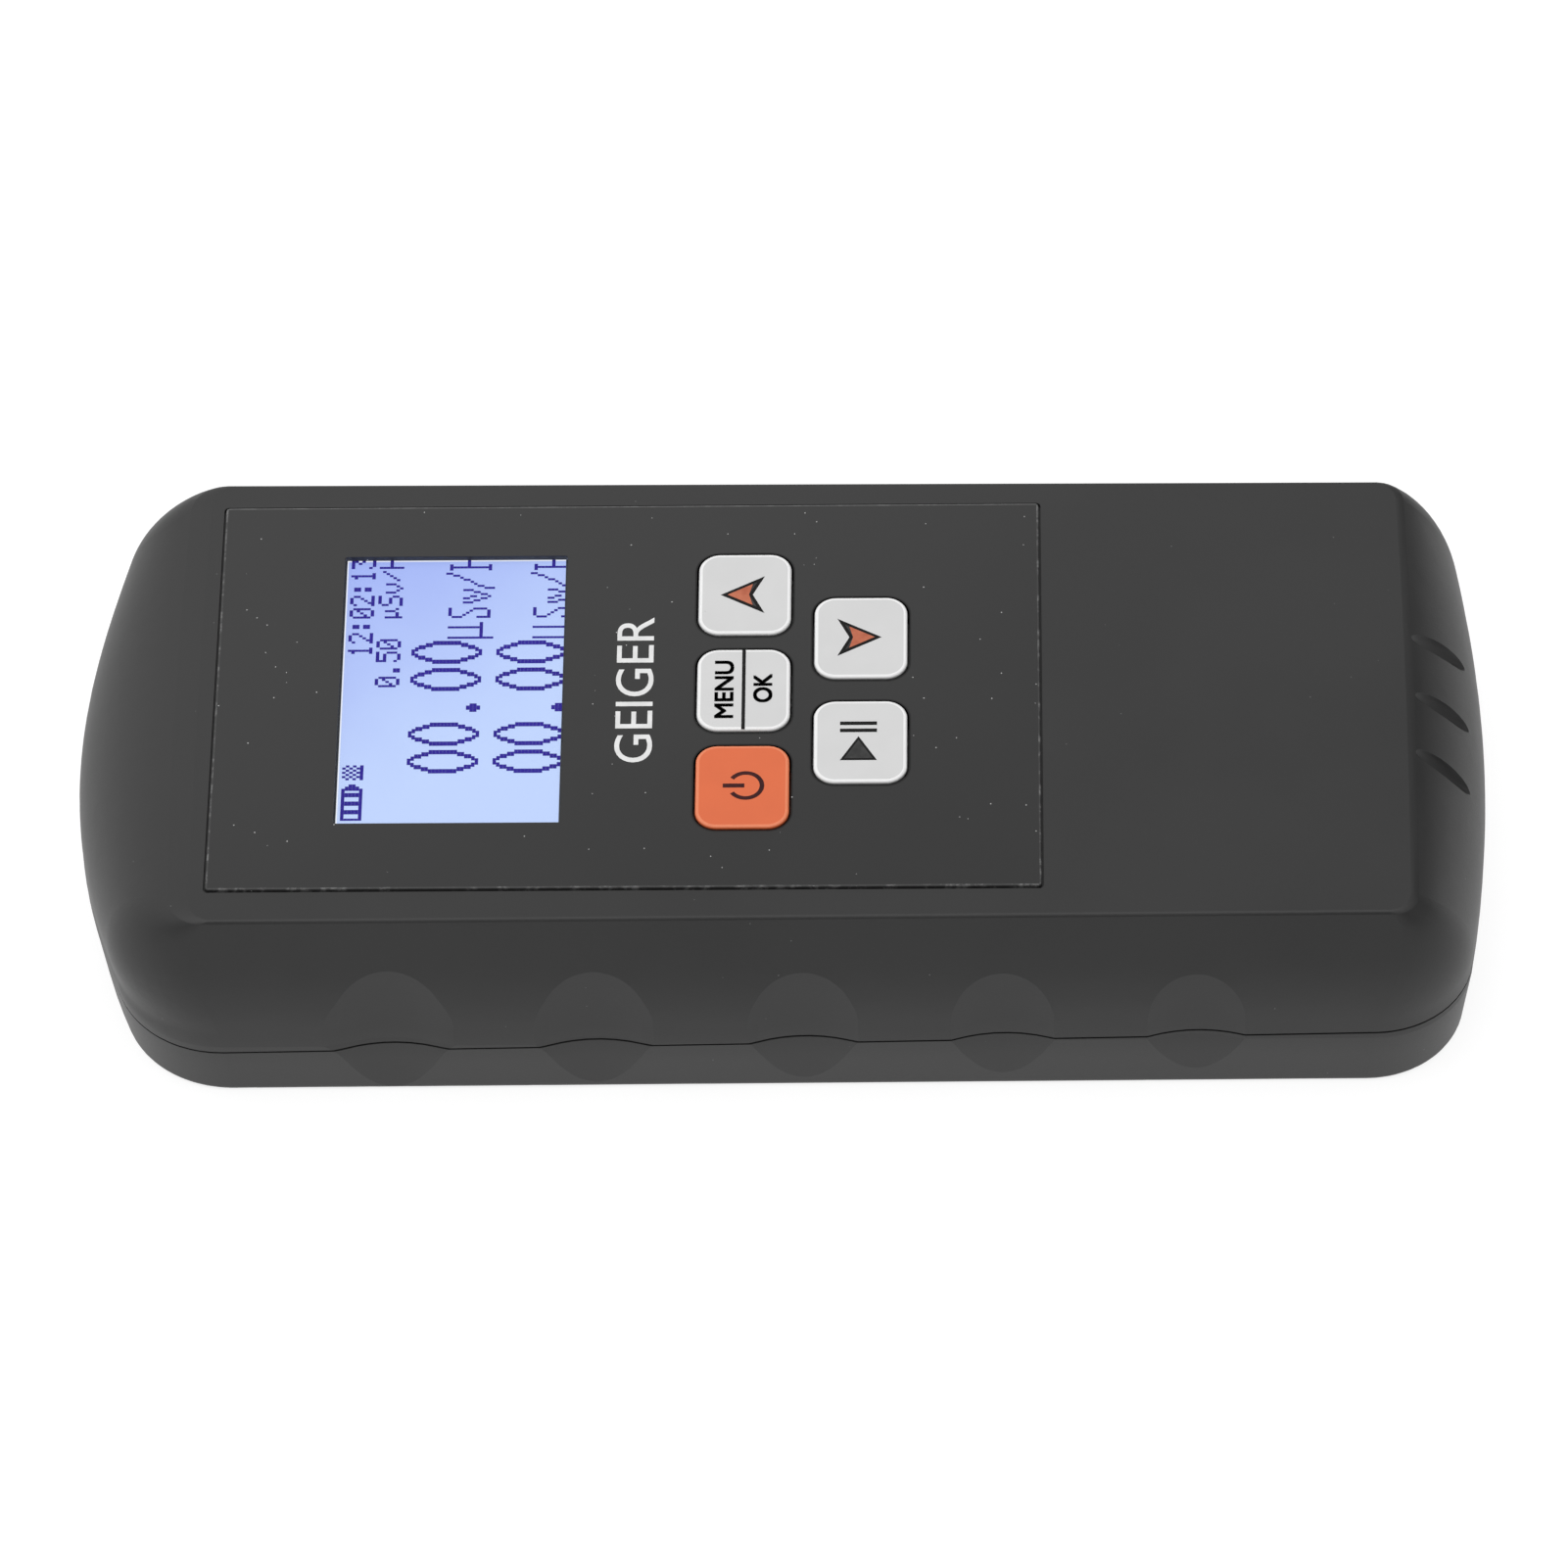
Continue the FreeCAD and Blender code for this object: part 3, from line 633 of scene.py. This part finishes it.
def wordPiece(name, text, middle, length, height, body, material, bold=0.0):
    # a word that reads along +Y, with its capitals' height along X
    curve = bpy.data.curves.new(name, "FONT")
    curve.body = text
    curve.align_x = "CENTER"
    curve.size = 1.0
    curve.resolution_u = 6
    writer = bpy.data.objects.new(name + "_writer", curve)
    scene.collection.objects.link(writer)
    bpy.context.view_layer.update()
    written = writer.evaluated_get(bpy.context.evaluated_depsgraph_get())
    mesh = bpy.data.meshes.new_from_object(written)
    bpy.data.objects.remove(writer)
    xs = [vertex.co.x for vertex in mesh.vertices]
    ys = [vertex.co.y for vertex in mesh.vertices]
    centreX = (max(xs) + min(xs)) / 2
    centreY = (max(ys) + min(ys)) / 2
    along = (length - 2 * bold) * mm / (max(xs) - min(xs))
    up = (height - 2 * bold) * mm / (max(ys) - min(ys))
    for vertex in mesh.vertices:
        x = middle.x - (vertex.co.y - centreY) * up
        y = middle.y + (vertex.co.x - centreX) * along
        vertex.co = (x, y, middle.z + printLooks["lift"] * mm)
    # a bold word is four copies, shifted each way
    shifts = [(-bold, -bold), (bold, -bold), (-bold, bold), (bold, bold)] if bold else [(0, 0)]
    made = bmesh.new()
    for x, y in shifts:
        known = len(made.verts)
        made.from_mesh(mesh)
        made.verts.ensure_lookup_table()
        bmesh.ops.translate(made, vec=(x * mm, y * mm, 0), verts=made.verts[known:])
    grown = bmesh.ops.extrude_face_region(made, geom=made.faces[:])
    raised = [item for item in grown["geom"] if isinstance(item, bmesh.types.BMVert)]
    bmesh.ops.translate(made, vec=(0, 0, printLooks["thickness"] * mm), verts=raised)
    bmesh.ops.recalc_face_normals(made, faces=made.faces)
    made.to_mesh(mesh)
    made.free()
    mesh.name = name
    return pieceFrom(name, mesh, body, material)


# words as middle x, middle y, length and height; the line as its place and half width
menuShape = {
    "menu": (-2.06, -0.01, 8.0, 2.05),
    "ok": (2.03, 0.15, 4.0, 2.05),
    "line": (0.0, 0.19),
    "margin": 0.80,
    "bold": 0.07,
}
wordShape = {"text": "GEIGER", "fromGlass": 7.5, "aside": 0.35, "length": 20.2, "height": 4.0}


def menuPrint(inks):
    top = keyTop("key_menu")
    for word, key in (("MENU", "menu"), ("OK", "ok")):
        x, y, length, height = menuShape[key]
        middle = top + Vector((x * mm, y * mm, 0))
        wordPiece("print_" + key, word, middle, length, height, "menu_key", inks["dark"],
                  menuShape["bold"])
    x, half = menuShape["line"]
    low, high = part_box("key_menu")
    reach = (high.y - low.y) / mm / 2 - menuShape["margin"]
    line = rectangle(x - half, -reach, x + half, reach)
    printPiece("menu_line", [line], top, 0, "menu_key", inks["dark"])


def panelWord(inks):
    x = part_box("display_window")[1].x + wordShape["fromGlass"] * mm
    y = windowCentre().y - wordShape["aside"] * mm
    middle = Vector((x, y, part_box("front_overlay")[1].z))
    wordPiece("panel_word", wordShape["text"], middle, wordShape["length"], wordShape["height"],
              "case", inks["white"])


def paint(node, material):
    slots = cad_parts[node].data.materials
    slots.clear()
    slots.append(material)


def numbered(start, count):
    return [start + str(number) for number in range(1, count + 1)]


def paintNodes():
    plastic = casePlastic()
    for node in ("top_shell", "bottom_shell", "battery_door"):
        paint(node, plastic)
    paint("front_overlay", panelFilm())
    paint("display_window", clearWindow())
    paint("display_glass", displayField())
    for name in ("up", "menu", "down", "play"):
        node = "key_" + name
        # the last tone is the painted highlight inside the cap's edge
        paint(node, keyPlastic(name + "Key", node, grey(0.70), grey(0.66), grey(0.98)))
    warm = (0.78, 0.155, 0.050, 1)
    darkWarm = (0.72, 0.140, 0.045, 1)
    # the last tone is the painted highlight inside the cap's edge
    paint("key_power", keyPlastic("powerKey", "key_power", warm, darkWarm, (0.88, 0.27, 0.13, 1)))
    black = plainFinish("mouldedBlack", grey(0.018), grey(0.028), 2.0, 0.5)
    white = plainFinish("mouldedWhite", grey(0.70), grey(0.62), 2.0, 0.45)
    for name in keyNames:
        paint("switch_" + name, black)
        paint("plunger_" + name, white)
    steel = plainFinish("zincSteel", grey(0.50), grey(0.62), 1.2, 0.30, 0.003, 0.1, Metallic=1.0)
    for node in ("board_screws", "case_screws", "display_frame", *numbered("cell_spring_", 3)):
        paint(node, steel)
    brass = plainFinish("springBrass", (0.62, 0.46, 0.20, 1), (0.72, 0.56, 0.28, 1), 1.5, 0.28, 0.003, 0.1,
                        Metallic=1.0)
    for node in (*numbered("contact_plate_", 4), "tube_clip_front", "tube_clip_rear"):
        paint(node, brass)
    tube = plainFinish("tubeSteel", grey(0.42), grey(0.52), 4.0, 0.25, 0.002, 0.3, Metallic=1.0)
    paint("geiger_tube", tube)
    nickel = plainFinish("capNickel", grey(0.66), grey(0.74), 2.0, 0.18, 0.002, 0.2, Metallic=1.0)
    paint("tube_cap_front", nickel)
    paint("tube_cap_rear", nickel)
    board = plainFinish("boardGreen", (0.012, 0.11, 0.04, 1), (0.02, 0.15, 0.05, 1), 1.8, 0.30)
    paint("main_board", board)
    for node in ("processor_chip", "buzzer"):
        paint(node, black)
    paint("step_up_coil", plainFinish("ferrite", grey(0.05), grey(0.08), 0.8, 0.55, 0.01))
    sleeve = plainFinish("sleeveBlue", (0.03, 0.06, 0.26, 1), (0.04, 0.08, 0.32, 1), 2.0, 0.30)
    paint("tube_capacitor", sleeve)
    ribbon = plainFinish("ribbonAmber", (0.50, 0.20, 0.03, 1), (0.58, 0.26, 0.05, 1), 2.0, 0.25)
    paint("display_ribbon", ribbon)
    wrap = plainFinish("cellWrap", (0.03, 0.05, 0.09, 1), (0.05, 0.07, 0.12, 1), 6.0, 0.25, 0.001)
    for node in numbered("battery_cell_", 3):
        paint(node, wrap)


def ink(name, tone, lightTone, size=1.0, **fixed):
    return plainFinish(name, tone, lightTone, size, 0.5, 0.001, **fixed)


def printInks():
    dull = {"Specular_IOR_Level": 0.2}
    return {
        "dark": ink("inkDark", grey(0.004), grey(0.007), **dull),
        "grey": ink("inkGrey", grey(0.035), grey(0.055), **dull),
        "salmon": ink("inkSalmon", (0.46, 0.12, 0.065, 1), (0.58, 0.18, 0.10, 1), 1.2, **dull),
        "maroon": ink("inkMaroon", (0.035, 0.006, 0.008, 1), (0.055, 0.010, 0.010, 1), **dull),
        "white": ink("inkWhite", grey(0.78), grey(0.86), 1.5),
    }


floorLooks = {"reach": 4.0, "tone": 0.26, "glow": 0.84, "gap": 0.00005}


def makeFloor():
    reach = floorLooks["reach"]
    made = bmesh.new()
    bmesh.ops.create_grid(made, x_segments=8, y_segments=8, size=reach)
    mesh = bpy.data.meshes.new("floor")
    made.to_mesh(mesh)
    made.free()
    floor = bpy.data.objects.new("floor", mesh)
    scene.collection.objects.link(floor)
    finish = Finish("floorPaper", Roughness=0.9, Specular_IOR_Level=0.1, Emission_Color=grey(1.0),
                    Emission_Strength=floorLooks["glow"])
    tone = floorLooks["tone"]
    finish.feed("Base Color", finish.tint(finish.noise(60, 2.0), grey(tone), grey(tone * 0.985)))
    mesh.materials.append(finish.material)
    floor.location.z = -floorLooks["gap"]


class Sky(Finish):
    # the studio around the scene, as a brightness for each direction
    def __init__(self, name):
        self.material = bpy.data.worlds.new(name)
        self.material.use_nodes = True
        self.tree = self.material.node_tree
        self.shader = self.tree.nodes["Background"]
        self.shader.inputs["Color"].default_value = grey(1.0)

    def place(self):
        return self.node("TexCoord", out=0)


skyLooks = {
    "level": 0.60,
    # the bright cap overhead, and the height where it starts
    "cap": 1.6,
    "capFrom": 0.74,
    # how much darker the low sky is on the right and in front, and brighter on the left
    "rightShade": 0.92,
    "frontShade": 0.90,
    "leftGain": 0.30,
}


def makeLights():
    looks = skyLooks
    sky = Sky("studio")
    x, y, z = sky.axes()
    low = 1 - z.fade(0.35, 0.80)
    right = x.fade(-0.2, 0.6) * y.fade(-0.3, 0.2)
    front = (0 - y).fade(0.0, 0.7)
    left = x.fade(0.2, -0.8)
    level = looks["level"] * (1 - looks["rightShade"] * right * low)
    level = level * (1 - looks["frontShade"] * front * low) + looks["leftGain"] * left
    sky.feed("Strength", level + looks["cap"] * z.fade(looks["capFrom"], 1.0))
    scene.world = sky.material


viewLooks = {
    "elevation": 49.96,
    "azimuth": 1.85,
    "roll": -1.75,
    "distance": 1.1129,
    "lens": 239.2,
    "target": 0.012,
    "rise": -0.00149,
    "side": 0.00024,
}


def makeCamera():
    looks = viewLooks
    camera = bpy.data.cameras.new("camera")
    camera.lens = looks["lens"]
    camera.sensor_width = 36.0
    camera.clip_start = 0.05
    holder = bpy.data.objects.new("camera", camera)
    scene.collection.objects.link(holder)
    elevation = math.radians(looks["elevation"])
    azimuth = math.radians(looks["azimuth"])
    across = math.cos(elevation)
    away = Vector((across * math.sin(azimuth), -across * math.cos(azimuth), math.sin(elevation)))
    turn = away.to_track_quat("Z", "Y").to_matrix().to_4x4()
    turn = turn @ Matrix.Rotation(math.radians(looks["roll"]), 4, "Z")
    place = Vector((0, 0, looks["target"])) + away * looks["distance"]
    framing = Matrix.Translation((looks["side"], looks["rise"], 0))
    holder.matrix_world = Matrix.Translation(place) @ turn @ framing
    scene.camera = holder


makeCamera()
print("camera placed")
makeFloor()
makeLights()
scene.view_settings.view_transform = "Standard"
print("floor and lights placed")
paintNodes()
print("parts painted")
displayDots()
print("display written")
inks = printInks()
arrowPrint("up_arrow", "key_up", "up_key", -1, inks)
arrowPrint("down_arrow", "key_down", "down_key", 1, inks)
powerPrint(inks)
playPrint(inks)
menuPrint(inks)
panelWord(inks)
print("prints made")
